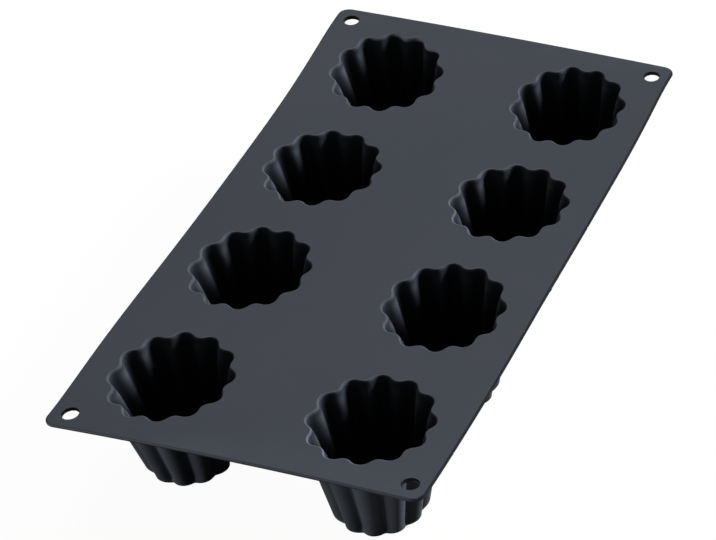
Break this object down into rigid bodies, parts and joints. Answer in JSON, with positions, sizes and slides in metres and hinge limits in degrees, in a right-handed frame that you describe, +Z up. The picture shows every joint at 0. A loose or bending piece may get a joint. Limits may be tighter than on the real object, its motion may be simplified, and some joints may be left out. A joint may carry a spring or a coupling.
{
  "type": "canele mould",
  "caption": "Flexible silicone baking mould: a thin rectangular sheet with corner hanging holes, carrying tapered, fluted cups that hang below it and stand on their flat bases.",
  "frame": {"origin": "under the middle of the sheet, on the plane that the cup bases stand on", "axes": "+Z up, out of the cups; +X along the long side of the sheet; +Y along its short side"},
  "size_m": [0.3, 0.175, 0.048],
  "materials": {
    "silicone": "dark slate grey moulded silicone, satin, with a faint bloom on the flat sheet"
  },
  "bodies": {
    "root": {"top_sheet": "silicone", "cup_1": "silicone", "cup_2": "silicone", "cup_3": "silicone", "cup_4": "silicone", "cup_5": "silicone", "cup_6": "silicone", "cup_7": "silicone", "cup_8": "silicone"}
  },
  "joints": []
}
